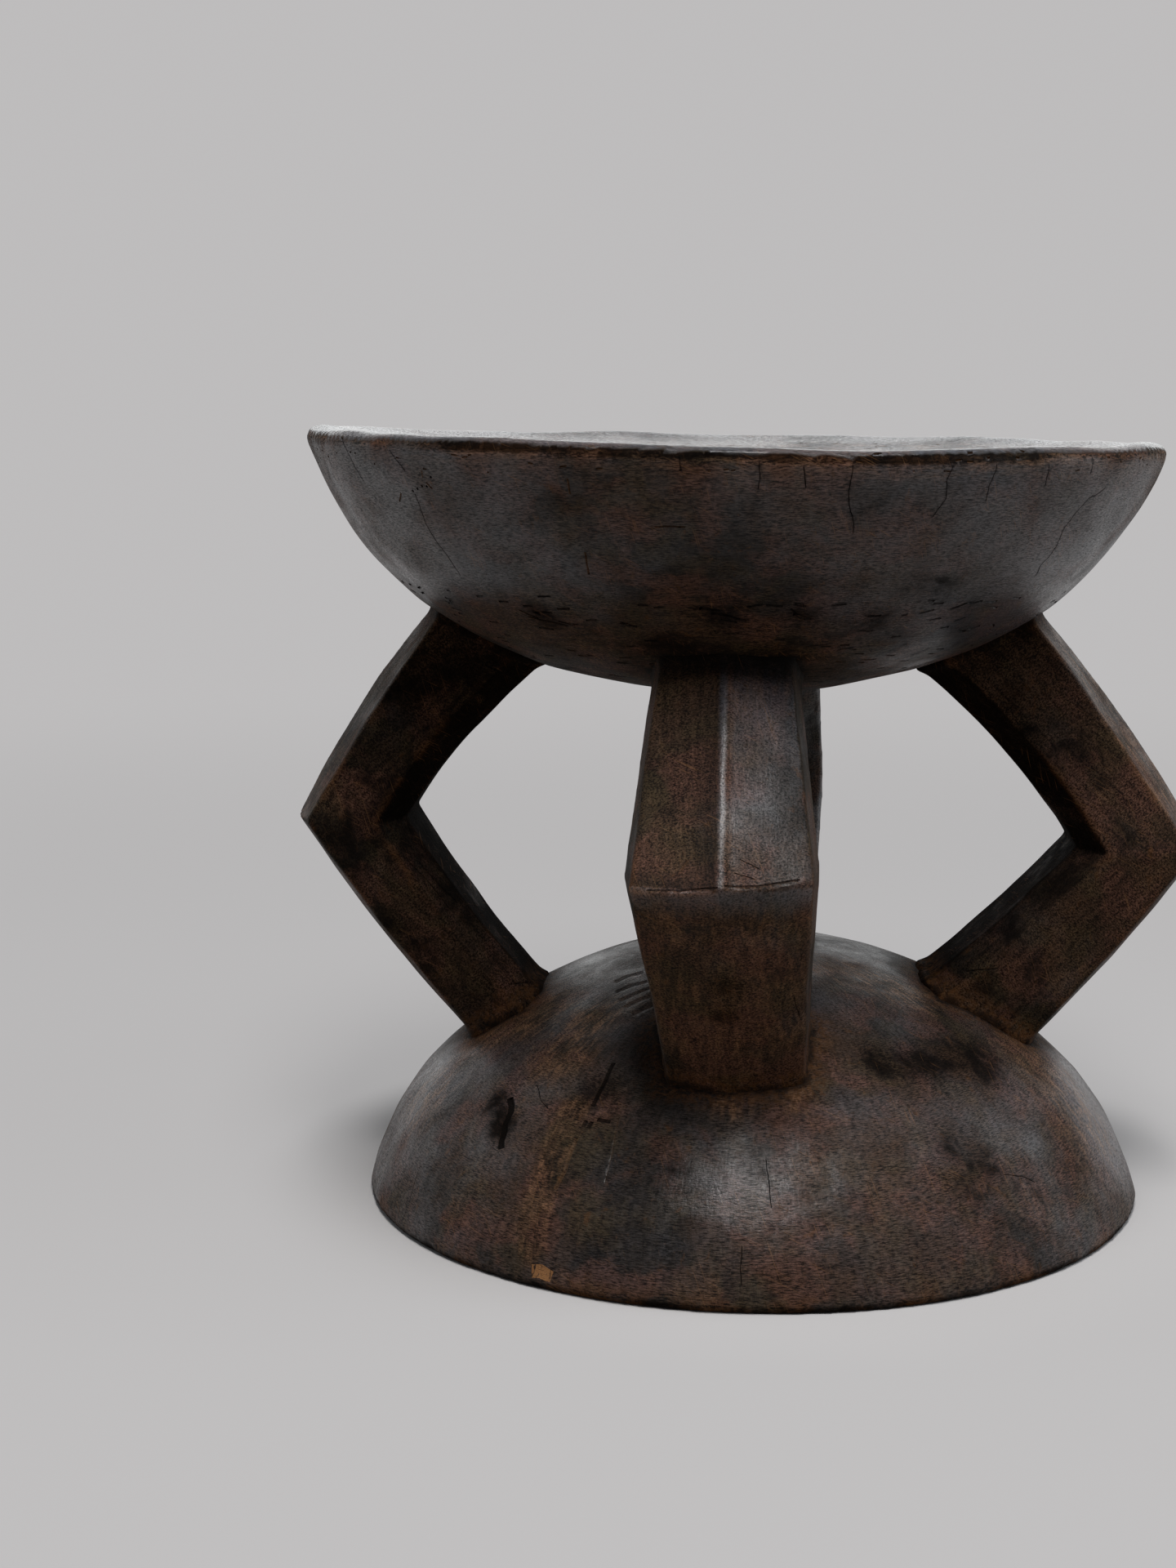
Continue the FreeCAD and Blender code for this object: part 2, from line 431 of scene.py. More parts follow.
def dark_wood(name, shift, fibre, hatch, nap, wear, satin):
    """Old dark wood: oiled brown heartwood, stained and grimy, redder on its edges, polished in patches; its
    colour also holds painted shade, a painted sheen and paler painted light.
    """
    wood = bpy.data.materials.new(name)
    wood.use_nodes = True
    tree = wood.node_tree
    surface = tree.nodes["Principled BSDF"]
    straight = add(tree, "ShaderNodeTexCoord").outputs["Object"]
    height = add(tree, "ShaderNodeSeparateXYZ", {0: straight}).outputs["Z"]
    stroke = add(tree, "ShaderNodeAttribute", attribute_name="stroke").outputs["Vector"]
    sway = noise(tree, straight, 24 * mm, shift + 1.0, detail=3.0, socket="Color")
    sway = vectors(tree, "SCALE", vectors(tree, "SUBTRACT", sway, (0.5, 0.5, 0.5)), 16 * mm)
    place = vectors(tree, "ADD", straight, sway)
    skin = {
        label: add(tree, "ShaderNodeAttribute", attribute_name=label).outputs["Fac"]
        for label in ("worn", "seam", "crack", "bare", "polish", "grime", "smoke", "scraped")
    }

    broad = noise(tree, place, 60 * mm, shift, detail=4.0)
    patch = noise(tree, place, 22 * mm, shift + 3.0, detail=5.0, roughness=0.55)
    tinge = noise(tree, place, 18 * mm, shift + 23.0, detail=3.0)
    cloud = noise(tree, place, 34 * mm, shift + 11.0, detail=4.0)
    blot = noise(tree, place, 24 * mm, shift + 13.0, detail=6.0, roughness=0.7)
    crust = noise(tree, place, 9 * mm, shift + 17.0, detail=6.0, roughness=0.7)
    pore = noise(tree, stroke, 0.55 * mm, shift + 5.0, detail=3.0, roughness=0.7, stretch=nap)
    fleck = noise(tree, place, 2.2 * mm, shift + 21.0, detail=5.0, roughness=0.75)
    smear = noise(tree, place, 6 * mm, shift + 27.0, detail=5.0, roughness=0.7, stretch=(1.0, 1.0, 1.8))
    sweep = noise(tree, stroke, 2.2 * mm, shift + 25.0, detail=3.0, stretch=fibre)
    streak = noise(tree, stroke, 0.8 * mm, shift + 7.0, detail=3.0, roughness=0.6, stretch=fibre)
    line = noise(tree, stroke, 0.7 * mm, shift + 9.0, detail=2.0, stretch=hatch)
    scratch = noise(
        tree, straight, 0.4 * mm, shift + 15.0, detail=1.0, stretch=(1.0, 25.0, 50.0), turn=(0.3, 0.35, 0.0)
    )
    scrape = noise(
        tree, straight, 0.4 * mm, shift + 19.0, detail=1.0, stretch=(35.0, 25.0, 1.0), turn=(0.2, -0.45, 0.3)
    )

    umber = (0.0160, 0.0110, 0.0068, 1.0)
    brown = (0.046, 0.0262, 0.0160, 1.0)
    russet = (0.080, 0.0375, 0.0265, 1.0)
    olive = (0.048, 0.034, 0.0165, 1.0)
    tan = (0.120, 0.064, 0.035, 1.0)
    # Near-black serves for cracks, stains and streaks and also for painted shade; the blue-grey next is
    # partly a dusty bloom, partly a painted sheen.
    soot_and_shade = (0.0040, 0.0032, 0.0028, 1.0)
    dust_and_sheen = (0.023, 0.034, 0.054, 1.0)
    ochre = (0.090, 0.039, 0.0135, 1.0)
    raw = (0.24, 0.120, 0.052, 1.0)

    colour = over(tree, eased(tree, broad, 0.36, 0.58), umber, brown)
    colour = over(tree, share_of(tree, eased(tree, patch, 0.46, 0.59), 0.62), colour, russet)
    colour = over(tree, share_of(tree, eased(tree, tinge, 0.49, 0.62), 0.4), colour, olive)
    # A blue-grey layer, strongest on polished wood: partly dusty bloom, partly a painted sheen in place of
    # reflections; it also sets the coat and roughness.
    film = total(tree, cloud=(0.5, cloud), polish=(0.62, skin["polish"]), crust=(0.25, crust))
    film = eased(tree, film, 0.42, 0.85)
    colour = over(tree, share_of(tree, film, 0.55), colour, dust_and_sheen)
    # Paler tan: real scrapes and chips, and painted light on faces that the lamps leave too dark.
    scraped = share_of(tree, skin["scraped"], eased(tree, sweep, 0.34, 0.66), eased(tree, crust, 0.36, 0.56))
    colour = over(tree, share_of(tree, scraped, 0.7), colour, tan)
    grit = maths(tree, "SUBTRACT", eased(tree, pore, 0.32, 0.68), 0.5)
    grit = share_of(tree, grit, maths(tree, "MULTIPLY_ADD", skin["polish"], -1.3, 2.3))
    swept = maths(tree, "SUBTRACT", eased(tree, sweep, 0.36, 0.64), 0.5)
    swept = share_of(tree, swept, maths(tree, "MULTIPLY_ADD", skin["polish"], -0.35, 0.45))
    # Darkening from pores and knife sweeps, and from a field that holds both real dirt and painted shade.
    darkening = total(tree, start=1.0, grit=(1.0, grit), swept=(1.0, swept), grime=(-0.5, skin["grime"]))
    colour = vectors(tree, "SCALE", colour, maths(tree, "MAXIMUM", darkening, 0.12))
    colour = over(tree, share_of(tree, eased(tree, fleck, 0.58, 0.70), 0.35), colour, tan)
    colour = over(tree, share_of(tree, eased(tree, smear, 0.60, 0.69), 0.45), colour, ochre)
    colour = over(tree, share_of(tree, eased(tree, crust, 0.55, 0.63), 0.35), colour, umber)
    colour = over(tree, share_of(tree, eased(tree, streak, 0.53, 0.68), 0.4), colour, soot_and_shade)
    colour = over(tree, share_of(tree, eased(tree, line, 0.55, 0.70), 0.25), colour, soot_and_shade)
    # Blotchy stains, larger and blacker where that field is high, so they also paint shade there.
    stain = total(tree, blot=(1.0, blot), grime=(0.45, skin["grime"]), crust=(0.6, crust), pore=(0.25, pore))
    stain = eased(tree, stain, 1.04, 1.36)
    colour = over(tree, share_of(tree, stain, 0.88), colour, soot_and_shade)
    # Painted shade: near-black where shadow falls, in the corner by the front foot and on the front leg.
    colour = over(tree, share_of(tree, skin["smoke"], eased(tree, crust, 0.10, 0.42), 0.9), colour, soot_and_shade)
    rubbed = share_of(tree, eased(tree, skin["worn"], 0.15, 0.8), eased(tree, patch, 0.46, 0.62))
    colour = over(tree, share_of(tree, rubbed, eased(tree, pore, 0.36, 0.5), wear), colour, ochre)
    # At the seams: settled ochre round the feet, near-black painted shade where the legs meet the bowl, and a
    # painted shadow line right in each seam.
    seam_tone = over(tree, eased(tree, height, 130 * mm, 170 * mm), ochre, soot_and_shade)
    seam_share = share_of(tree, eased(tree, skin["seam"], 0.4, 1.0), eased(tree, fleck, 0.42, 0.58))
    colour = over(tree, share_of(tree, seam_share, 0.6), colour, seam_tone)
    seam_shadow = share_of(tree, eased(tree, skin["seam"], 0.90, 0.98), eased(tree, crust, 0.40, 0.52))
    colour = over(tree, share_of(tree, seam_shadow, 0.75), colour, soot_and_shade)
    marks = maths(tree, "MAXIMUM", eased(tree, scratch, 0.66, 0.75), eased(tree, scrape, 0.66, 0.75))
    colour = over(tree, share_of(tree, marks, eased(tree, patch, 0.42, 0.60), 0.3), colour, raw)
    chipped = share_of(tree, skin["bare"], eased(tree, pore, 0.25, 0.46), eased(tree, streak, 0.30, 0.44))
    colour = over(tree, chipped, colour, raw)
    colour = over(tree, share_of(tree, skin["crack"], 0.95), colour, soot_and_shade)
    tree.links.new(colour, surface.inputs["Base Color"])

    dull = maths(tree, "MAXIMUM", maths(tree, "MAXIMUM", skin["seam"], skin["crack"]), skin["bare"])
    rough = total(tree, pore=(-0.3, pore), film=(-0.12, film), dull=(0.2, dull), stain=(0.25, stain))
    tree.links.new(maths(tree, "ADD", rough, 0.82, clamp=True), surface.inputs["Roughness"])
    glint = total(tree, start=0.10, grime=(-0.09, skin["grime"]))
    tree.links.new(glint, surface.inputs["Specular IOR Level"])
    # Stains and painted shade take away the gloss.
    blackness = maths(tree, "MAXIMUM", stain, skin["smoke"])
    gloss = share_of(tree, film, maths(tree, "SUBTRACT", 1.0, dull), maths(tree, "SUBTRACT", 1.0, blackness))
    gloss = share_of(tree, gloss, total(tree, start=0.3, pore=(0.78, eased(tree, pore, 0.30, 0.60))))
    tree.links.new(maths(tree, "MULTIPLY", gloss, 1.1, clamp=True), surface.inputs["Coat Weight"])
    surface.inputs["Coat Roughness"].default_value = satin

    relief = total(tree, streak=(-0.5, streak), line=(-0.2, line), pore=(0.55, pore), crust=(0.8, crust))
    deep = total(tree, fine=(1.0, relief), sweep=(-1.2, sweep), patch=(1.0, patch))
    bump = add(tree, "ShaderNodeBump", {"Strength": 0.8, "Distance": 0.6 * mm, "Height": deep})
    tree.links.new(bump.outputs[0], surface.inputs["Normal"])
    smoother = add(tree, "ShaderNodeBump", {"Strength": 0.28, "Distance": 0.6 * mm, "Height": relief})
    tree.links.new(smoother.outputs[0], surface.inputs["Coat Normal"])
    return wood


def ramp(value, low, high):
    """0 below low, 1 above high, and a straight rise between them."""
    return max(0.0, min(1.0, (value - low) / (high - low)))


def spots_on(node, spots):
    """Spots of (x, z, radius) millimetres, seen from the front, as points of a member's solid and radii."""
    return [(on_front(node, x, z), radius * mm) for x, z, radius in spots]


def nearest_spot(place, spots):
    """1 at the middle of the nearest spot, 0 outside every spot."""
    return max((1.0 - min(1.0, (place - middle).length / radius) for middle, radius in spots), default=0.0)


def patches(place, spots):
    """1 well inside the patches that spots make together, 0 outside every spot."""
    shares = [max(0.0, 1.0 - ((place - middle).length / radius) ** 2) for middle, radius in spots]
    return min(1.0, sum(share ** 2 for share in shares))


def round_strokes(place, axis_x, girth, slope):
    """Where a place lies to a carver working round a bowl or dome: two values round it, the third up it."""
    out = Vector((place.x - axis_x, place.y, 0.0))
    reach = out.length
    heading = out * (girth / max(reach, 1 * mm))
    return Vector((heading.x, heading.y, place.z + slope * reach))


def mark_skin(piece, **fields):
    """Keeps fields, each a function of a place on the skin and its outward direction, for the wood."""
    for label, field in fields.items():
        values = [field(vertex.co, vertex.normal) for vertex in piece.data.vertices]
        if isinstance(values[0], Vector):
            numbers = [number for value in values for number in value]
            piece.data.attributes.new(label, "FLOAT_VECTOR", "POINT").data.foreach_set("vector", numbers)
        else:
            piece.data.attributes.new(label, "FLOAT", "POINT").data.foreach_set("value", values)


leg_nodes = ["front_leg", "left_leg", "right_leg", "rear_leg"]
carving = carving_tree()
cutting = cutting_tree()
sharpest_smooth = math.radians(40)

base_wood = dark_wood(
    "base_wood",
    shift=0.0,
    fibre=(1.0, 1.0, 5.0),
    hatch=(6.0, 6.0, 1.0),
    nap=(3.0, 3.0, 1.0),
    wear=0.45,
    satin=0.26,
)
base = roughed_out("domed_base", "base", 1.7 * mm)
legs_round_base = neighbours_of("base", leg_nodes)
shape_with(
    base,
    carving,
    softening=2,
    wave_height=1.8 * mm,
    wave_length=60 * mm,
    facet_depth=1.4 * mm,
    facet_width=28 * mm,
    facet_shape=(1.0, 1.0, 1.6),
    seed=2.0,
    neighbours=legs_round_base,
    flare_depth=0.0,
    flare_reach=1.0 * mm,
    finish=base_wood,
)
settled(base)
base_cracks = [
    [(-79, 60), (-77, 57), (-74, 55)],
    [(-2, 22), (-2.5, 16), (-2, 10)],
    [(6, 48), (7, 43), (8, 34)],
    [(-128, 12), (-126, 20), (-124, 26)],
    [(92, 36), (99, 34), (104, 31)],
]
cut(base, "base", base_wood, base_cracks, width=0.3 * mm, depth=2 * mm, mark="crack", shade=0.7)
base_gouges = [
    [(-50, 70), (-53, 65), (-57, 58)],
    [(-60, 52), (-59, 54)],
    [(-58, 52), (-57, 54)],
    [(-55, 55), (-50, 55)],
]
cut(base, "base", base_wood, base_gouges, width=1.8 * mm, depth=0.8 * mm, mark="crack", shade=0.75)
black_scar = [[(-89, 55), (-88.5, 51.4), (-90.2, 47.6), (-90.7, 40.6)]]
cut(base, "base", base_wood, black_scar, width=2.8 * mm, depth=1 * mm, wander=3 * mm, mark="crack")
chatter_strokes = [
    [(-53, 88.2), (-48, 90.0), (-42, 91.6)],
    [(-52.5, 86.4), (-47, 88.4), (-40, 90.2)],
    [(-50, 85.0), (-44.5, 87.2), (-38, 89.2)],
    [(-47.5, 83.8), (-42.5, 86.0), (-37, 87.8)],
    [(-44.5, 82.6), (-40, 84.6), (-36, 86.0)],
]
for every_other in (chatter_strokes[::2], chatter_strokes[1::2]):
    cut(
        base,
        "base",
        base_wood,
        every_other,
        width=3.4 * mm,
        depth=0.5 * mm,
        wander=1.5 * mm,
        mark="crack",
        shade=0.0,
    )
scuffs = [
    [(-63, 58), (-71, 44), (-75, 28), (-77, 7)],
    [(-65, 58), (-73, 43), (-77, 28), (-79, 12)],
    [(-67, 55), (-74, 42), (-78, 30)],
    [(-62, 56), (-69, 45), (-72, 37)],
    [(-72, 36), (-75, 22), (-75.5, 12)],
    [(-47, 56), (-49, 46), (-51, 37)],
]
cut(
    base,
    "base",
    base_wood,
    scuffs,
    width=0.7 * mm,
    depth=0.25 * mm,
    wander=0.6 * mm,
    mark="bare",
    shade=0.06,
)
bare_strip = [[(-62, 49), (-64, 44.5), (-66, 39), (-69, 33)]]
cut(base, "base", base_wood, bare_strip, width=1.7 * mm, depth=0.5 * mm, mark="bare", shade=0.16)
base_chip = [[(-76.5, 6), (-73, 6.6), (-69, 5.6)]]
cut(base, "base", base_wood, base_chip, width=5.5 * mm, depth=0.8 * mm, mark="bare")
base_stains = spots_on(
    "base",
    [(83, 68, 24), (66, 69, 20), (48, 72, 17), (-94, 53, 13), (-92, 46, 12), (-56, 62, 16)],
)
base_mottle = spots_on("base", [(114, 31, 26), (90, 37, 26), (73, 42, 26), (-27, 44, 24)])
base_shadow = spots_on("base", [(-36, 76, 24), (-30, 66, 14)])
# Where the dome is polished and gets a painted blue-grey sheen: its front and its two flanks.
base_front_sheen = spots_on("base", [(8, 42, 42)])
base_left_sheen = spots_on("base", [(-126, 44, 48)])
base_right_sheen = spots_on("base", [(136, 36, 40)])
# Paler tan round the front leg, and paler tan that is partly painted light on the dome's right edge, left
# flank and top.
base_bared_and_lit = spots_on(
    "base",
    [(128, 42, 42), (60, 86, 22), (30, 94, 22), (45, 91, 18), (-126, 44, 30), (-6, 63, 12), (16, 65, 12)],
)
scraped_areas = [(-82, 76, 22), (-60, 80, 18), (-105, 64, 20), (-70, 70, 20), (108, 62, 20)]
scraped_strip = [(-64, 56), (-67, 50), (-70, 44), (-72, 38), (-74, 32), (-75, 26), (-76, 20), (-76.5, 14)]
strip_reach = 8
base_scrapes = spots_on("base", scraped_areas + [(x, z, strip_reach) for x, z in scraped_strip])


def base_grime_and_shade(place, outward):
    """Painted shadow blackens the foot's lower edge where it stands on the floor, and real stains mark the
    dome in places.
    """
    edge_shadow, stain_dirt, mottle_dirt = 0.8, 0.76, 0.32
    edge = edge_shadow * ramp(4 * mm - place.z, 0.0, 2 * mm)
    return max(edge, stain_dirt * patches(place, base_stains), mottle_dirt * patches(place, base_mottle))


def base_polish_and_sheen(place, outward):
    """Feet have polished the dome's front and its flanks, but not in its scrapes; the same field paints a
    blue-grey sheen there.
    """
    all_over, front, left, right, lost = 0.3, 0.12, 0.33, 0.6, 0.3
    front *= nearest_spot(place, base_front_sheen)
    sides = left * nearest_spot(place, base_left_sheen) + right * nearest_spot(place, base_right_sheen)
    return max(0.0, all_over + front + sides - lost * nearest_spot(place, base_scrapes))


def base_scraped_and_lit(place, outward):
    """Paler wood shows in the dome's scrapes, and more faintly round the front leg and on its flanks and top,
    where the paler tan is partly painted light.
    """
    scraped, bared_and_lit = 1.9, 1.8
    return max(min(1.0, scraped * nearest_spot(place, base_scrapes)), bared_and_lit * patches(place, base_bared_and_lit))


def base_corner_shade(place, outward):
    """Painted shade: near-black in the corner on the left of the front leg's foot, where shadow falls."""
    blackest, steepness = 0.8, 1.5
    return blackest * min(1.0, steepness * nearest_spot(place, base_shadow))


mark_skin(
    base,
    stroke=lambda place, outward: round_strokes(place, 0.0, 110 * mm, -1.0),
    polish=base_polish_and_sheen,
    grime=base_grime_and_shade,
    smoke=base_corner_shade,
    scraped=base_scraped_and_lit,
)
base.data.set_sharp_from_angle(angle=sharpest_smooth)
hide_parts("base")
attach(base, "root")

# The legs: four bent struts left standing between dome and bowl, each an elbow that points outwards.
# Above the knee the outer side is two flats that meet in a ridge, below it one broad rounded face.
# They are cut from the same block, so they run into the dome and the bowl without a joint.
leg_wood = dark_wood(
    "leg_wood",
    shift=20.0,
    fibre=(1.0, 1.0, 14.0),
    hatch=(14.0, 14.0, 1.0),
    nap=(1.5, 1.5, 1.0),
    wear=0.4,
    satin=0.31,
)
dome_and_bowl = neighbours_of("legs", ["base", "seat"])
leg_facing = {
    "front_leg": (0.0, -1.0),
    "left_leg": (-1.0, 0.0),
    "right_leg": (1.0, 0.0),
    "rear_leg": (0.0, 1.0),
}
# Heights from which each leg's head is painted black as shade under the bowl.
leg_shaded_from = {
    "front_leg": 216 * mm,
    "left_leg": 165 * mm,
    "right_leg": 195 * mm,
    "rear_leg": 180 * mm,
}
# How much painted shade darkens each leg, and how much paler tan, partly painted light, its outer faces get.
leg_shade = {"front_leg": 0.0, "left_leg": 0.56, "right_leg": 0.3, "rear_leg": 0.1}
leg_bared_and_lit = {"front_leg": 0.0, "left_leg": 0.4, "right_leg": 1.5, "rear_leg": 0.0}
leg_stains = {
    "front_leg": spots_on("front_leg", [(22, 106, 12), (21, 122, 9), (-7, 113, 11), (-9, 101, 10)]),
    "left_leg": spots_on("left_leg", [(-140, 150, 24), (-104, 88, 14), (-112, 110, 18)]),
    "right_leg": spots_on("right_leg", [(91, 90, 12), (122, 150, 18), (98, 200, 16), (106, 186, 12)]),
    "rear_leg": [],
}
# Paler patches on the front leg's lower face, partly painted light on a face that looks down.
front_paler_patches = spots_on(
    "front_leg",
    [(-24, 137, 15), (5, 134, 16), (-25, 109, 15), (-6, 89, 16), (10, 112, 13), (12, 92, 13), (-26, 86, 11)],
)
leg_scratches = {
    "front_leg": [
        [(-4, 161), (3, 158)],
        [(-6, 157), (1, 155)],
        [(17, 126), (17, 123)],
        [(15, 108), (17, 99)],
    ],
    "left_leg": [[(-136, 136), (-127, 125), (-119, 114)], [(-132, 134), (-124, 124), (-117, 116)]],
}
leg_gouges = {
    "front_leg": [[(-35, 150), (-24, 150.6), (-11, 152.7)], [(-9, 153.0), (2, 152.8), (16, 154.4)]],
    "left_leg": [[(-96, 84), (-92, 83.5), (-88, 83)], [(-104, 212), (-99, 210)]],
    "right_leg": [[(84, 93), (90, 94.4), (96, 95)]],
}


def leg_across(place, facing):
    """How far a place lies to the carver's right of a leg's middle, and how far out from the stool's axis."""
    out_x, out_y = facing
    return place.y * out_x - place.x * out_y, place.x * out_x + place.y * out_y


def leg_strokes(place, facing, knee):
    """Where a place lies to a carver working along a bent leg: two values across it, the third along it."""
    side, reach = leg_across(place, facing)
    rise = abs(place.z - knee)
    return Vector((side, (reach + rise) * 0.7, (rise - reach) * 0.7))


for number, node in enumerate(leg_nodes):
    leg = roughed_out("bent_" + node, node, 1.0 * mm)
    shape_with(
        leg,
        carving,
        softening=2,
        wave_height=1.4 * mm,
        wave_length=40 * mm,
        facet_depth=0.8 * mm,
        facet_width=18 * mm,
        facet_shape=(1.0, 1.0, 0.6),
        seed=5.0 + number,
        neighbours=dome_and_bowl,
        flare_depth=2.0 * mm,
        flare_reach=6.0 * mm,
        finish=leg_wood,
    )
    settled(leg)
    if node in leg_scratches:
        scratches = leg_scratches[node]
        cut(leg, node, leg_wood, scratches, width=0.3 * mm, depth=1 * mm, mark="crack", shade=0.6)
    if node in leg_gouges:
        gouges = leg_gouges[node]
        cut(leg, node, leg_wood, gouges, width=0.8 * mm, depth=0.4 * mm, mark="crack", shade=0.35)
    facing = leg_facing[node]
    knee = max(leg.data.vertices, key=lambda vertex: leg_across(vertex.co, facing)[1]).co.copy()
    ridge = leg_across(knee, facing)[0]
    in_front = node == "front_leg"

    def leg_polish_and_sheen(place, outward):
        """Hands and clothes have polished the ridge above the knee and the flat on its right. The same field
        paints a blue-grey sheen on the ridge, the knee's edge, the flat (more towards its shaded top), the
        outer faces and the rear leg's right side.
        """
        least, outer, rear_side = 0.1, 0.14 + 0.1 * leg_bared_and_lit[node], 0.55
        knee_edge, ridge_low, ridge_gain, flat_low, flat_gain = 0.4, 0.45, 0.4, 0.29, 0.26
        out = ramp(leg_across(outward, facing)[1], 0.35, 0.6)
        if not in_front:
            behind = rear_side * ramp(outward.x, 0.3, 0.7) if node == "rear_leg" else 0.0
            return max(outer * out, behind, least)
        if place.z < knee.z:
            return least + knee_edge * ramp(place.z, knee.z - 12 * mm, knee.z - 3 * mm) * out
        off_ridge = leg_across(place, facing)[0] - ridge
        on_ridge = ridge_low + ridge_gain * ramp(place.z, knee.z + 25 * mm, knee.z + 55 * mm)
        on_ridge *= 1.0 - ramp(abs(off_ridge), 0.3 * mm, 2.5 * mm)
        on_flat = flat_low + flat_gain * ramp(place.z, knee.z + 10 * mm, knee.z + 60 * mm)
        return max(on_ridge, on_flat * ramp(off_ridge, 0.0, 4 * mm) * out, least)

    def leg_scraped_and_lit(place, outward):
        """Rubbing has exposed paler wood on some outer faces, and the knife on the strip inside the elbow;
        the paler front lower face, the top of the flat right of the ridge and the right leg's bright outer
        strip are partly painted light.
        """
        strip, low_face, low_patches, right_flat = 0.5, 0.25, 0.65, 0.5
        across, facing_out = leg_across(outward, facing)
        outer = ramp(facing_out, 0.35, 0.6)
        if place.z < knee.z:
            inner = strip * ramp(-facing_out, 0.2, 0.45) * (1.0 - ramp(abs(across), 0.25, 0.5))
            rubbed = (low_face + low_patches * patches(place, front_paler_patches)) * outer if in_front else 0.0
            return max(inner, rubbed)
        if not in_front:
            return leg_bared_and_lit[node] * outer
        right_of_ridge = ramp(leg_across(place, facing)[0] - ridge, 0.0, 4 * mm)
        return right_flat * outer * right_of_ridge * ramp(place.z, knee.z + 25 * mm, knee.z + 60 * mm)

    def leg_grime_and_shade(place, outward):
        """Painted shade blackens the head under the bowl and darkens each leg by its own share, the left
        most; the inner faces are painted near-black, and real stains lie in patches.
        """
        upper_inner, lower_inner, lower_strip, head, lower_share, stain = 0.9, 0.48, 0.4, 0.68, 0.85, 0.62
        across, facing_out = leg_across(outward, facing)
        strip = 1.0 - ramp(abs(across), 0.25, 0.5)
        inner = upper_inner if place.z > knee.z else lower_inner + lower_strip * strip
        inner *= ramp(-facing_out, 0.2, 0.45)
        if node == "rear_leg":
            inner *= 1.0 - ramp(outward.x, 0.3, 0.7)
        head *= ramp(place.z, leg_shaded_from[node], leg_shaded_from[node] + 35 * mm)
        blackness = max(head, leg_shade[node] * (1.0 if place.z > knee.z - 10 * mm else lower_share))
        if not in_front:
            blackness *= 1.0 - ramp(facing_out, 0.35, 0.6)
        return max(blackness, inner, stain * patches(place, leg_stains[node]))

    def leg_front_shade(place, outward):
        """Painted shade on the front leg: black right under the bowl, in a soft band along the left of its
        ridge, and at the foot of the left flat just above the knee.
        """
        if not in_front or place.z < knee.z:
            return 0.0
        head, band, low_band, foot_of_flat = 0.9, 0.4, 0.5, 0.7
        beside = ridge - leg_across(place, facing)[0]
        low = 1.0 - ramp(place.z, knee.z, knee.z + 55 * mm)
        head *= ramp(place.z, 214 * mm, 222 * mm)
        band += low_band * low
        band *= ramp(beside, 0.5 * mm, 2 * mm) * (1.0 - ramp(beside, 3 * mm, 14 * mm))
        foot_of_flat *= ramp(beside, 0.0, 3 * mm) * (1.0 - ramp(place.z, knee.z + 1 * mm, knee.z + 7 * mm))
        return max(head, band, foot_of_flat)

    mark_skin(
        leg,
        stroke=lambda place, outward: leg_strokes(place, facing, knee.z),
        polish=leg_polish_and_sheen,
        grime=leg_grime_and_shade,
        smoke=leg_front_shade,
        scraped=leg_scraped_and_lit,
    )
    leg.data.set_sharp_from_angle(angle=sharpest_smooth)
    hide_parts(node)
    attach(leg, "root")

# The seat: a thick round bowl, dished on top, with a narrow rim that hands and clothes have polished.
# The outside is pared smooth near the rim and left rougher, with short knife cuts, where the legs begin.
seat_wood = dark_wood(
    "seat_wood",
    shift=40.0,
    fibre=(8.0, 8.0, 1.0),
    hatch=(1.0, 1.0, 8.0),
    nap=(3.0, 3.0, 1.0),
    wear=0.15,
    satin=0.26,
)
rim_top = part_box("seat")[1].z
seat_axis = (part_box("seat")[0].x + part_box("seat")[1].x) / 2


def rim_warp(place):
    """How far the drying wood has sunk or lifted: down at the front of the rim, up at its left."""
    warp_depth, full_from, sunk_turn, narrowness = 60 * mm, 150 * mm, math.radians(82), 6
    lift, sink = 2.0, 2.5
    share = max(0.0, min(1.0, (place.z - rim_top + warp_depth) / warp_depth))
    angle = math.atan2(place.y, place.x)
    sunk = max(0.0, math.cos(angle + sunk_turn)) ** narrowness
    lifted = max(0.0, math.cos(angle - math.pi)) ** narrowness
    out = min(1.0, math.hypot(place.x, place.y) / full_from)
    return share * out * (lifted * lift - sunk * sink) * mm


seat = roughed_out("bowl_seat", "seat", 2.0 * mm, rim_warp)
legs_round_seat = neighbours_of("seat", leg_nodes)
shape_with(
    seat,
    carving,
    softening=2,
    wave_height=1.8 * mm,
    wave_length=50 * mm,
    facet_depth=1.2 * mm,
    facet_width=26 * mm,
    facet_shape=(0.7, 0.7, 1.8),
    seed=9.0,
    neighbours=legs_round_seat,
    flare_depth=0.0,
    flare_reach=1.0 * mm,
    finish=seat_wood,
)
settled(seat)
seat_cracks = [
    [(-118, 281), (-114, 268), (-111, 263), (-108, 259), (-104, 252)],
    [(-148, 300), (-146, 297), (-143, 290), (-140, 285)],
    [(-127, 296), (-121, 289)],
    [(-25, 295), (-24, 290)],
    [(1, 293), (1, 285)],
    [(15, 292), (16, 285)],
    [(31, 292), (30, 286), (30, 280), (31, 277), (32, 274), (32, 270)],
    [(64, 292), (62, 287), (62, 281), (58, 275)],
    [(79, 292), (77, 285), (76, 280)],
    [(98, 292), (97, 285)],
    [(115, 294), (114, 288)],
    [(121, 283), (115, 280), (110, 274), (107, 269), (105, 263), (100, 256), (99, 252)],
]
cut(
    seat,
    "seat",
    seat_wood,
    seat_cracks,
    width=0.28 * mm,
    depth=2.5 * mm,
    wander=1.6 * mm,
    mark="crack",
    shade=0.75,
)
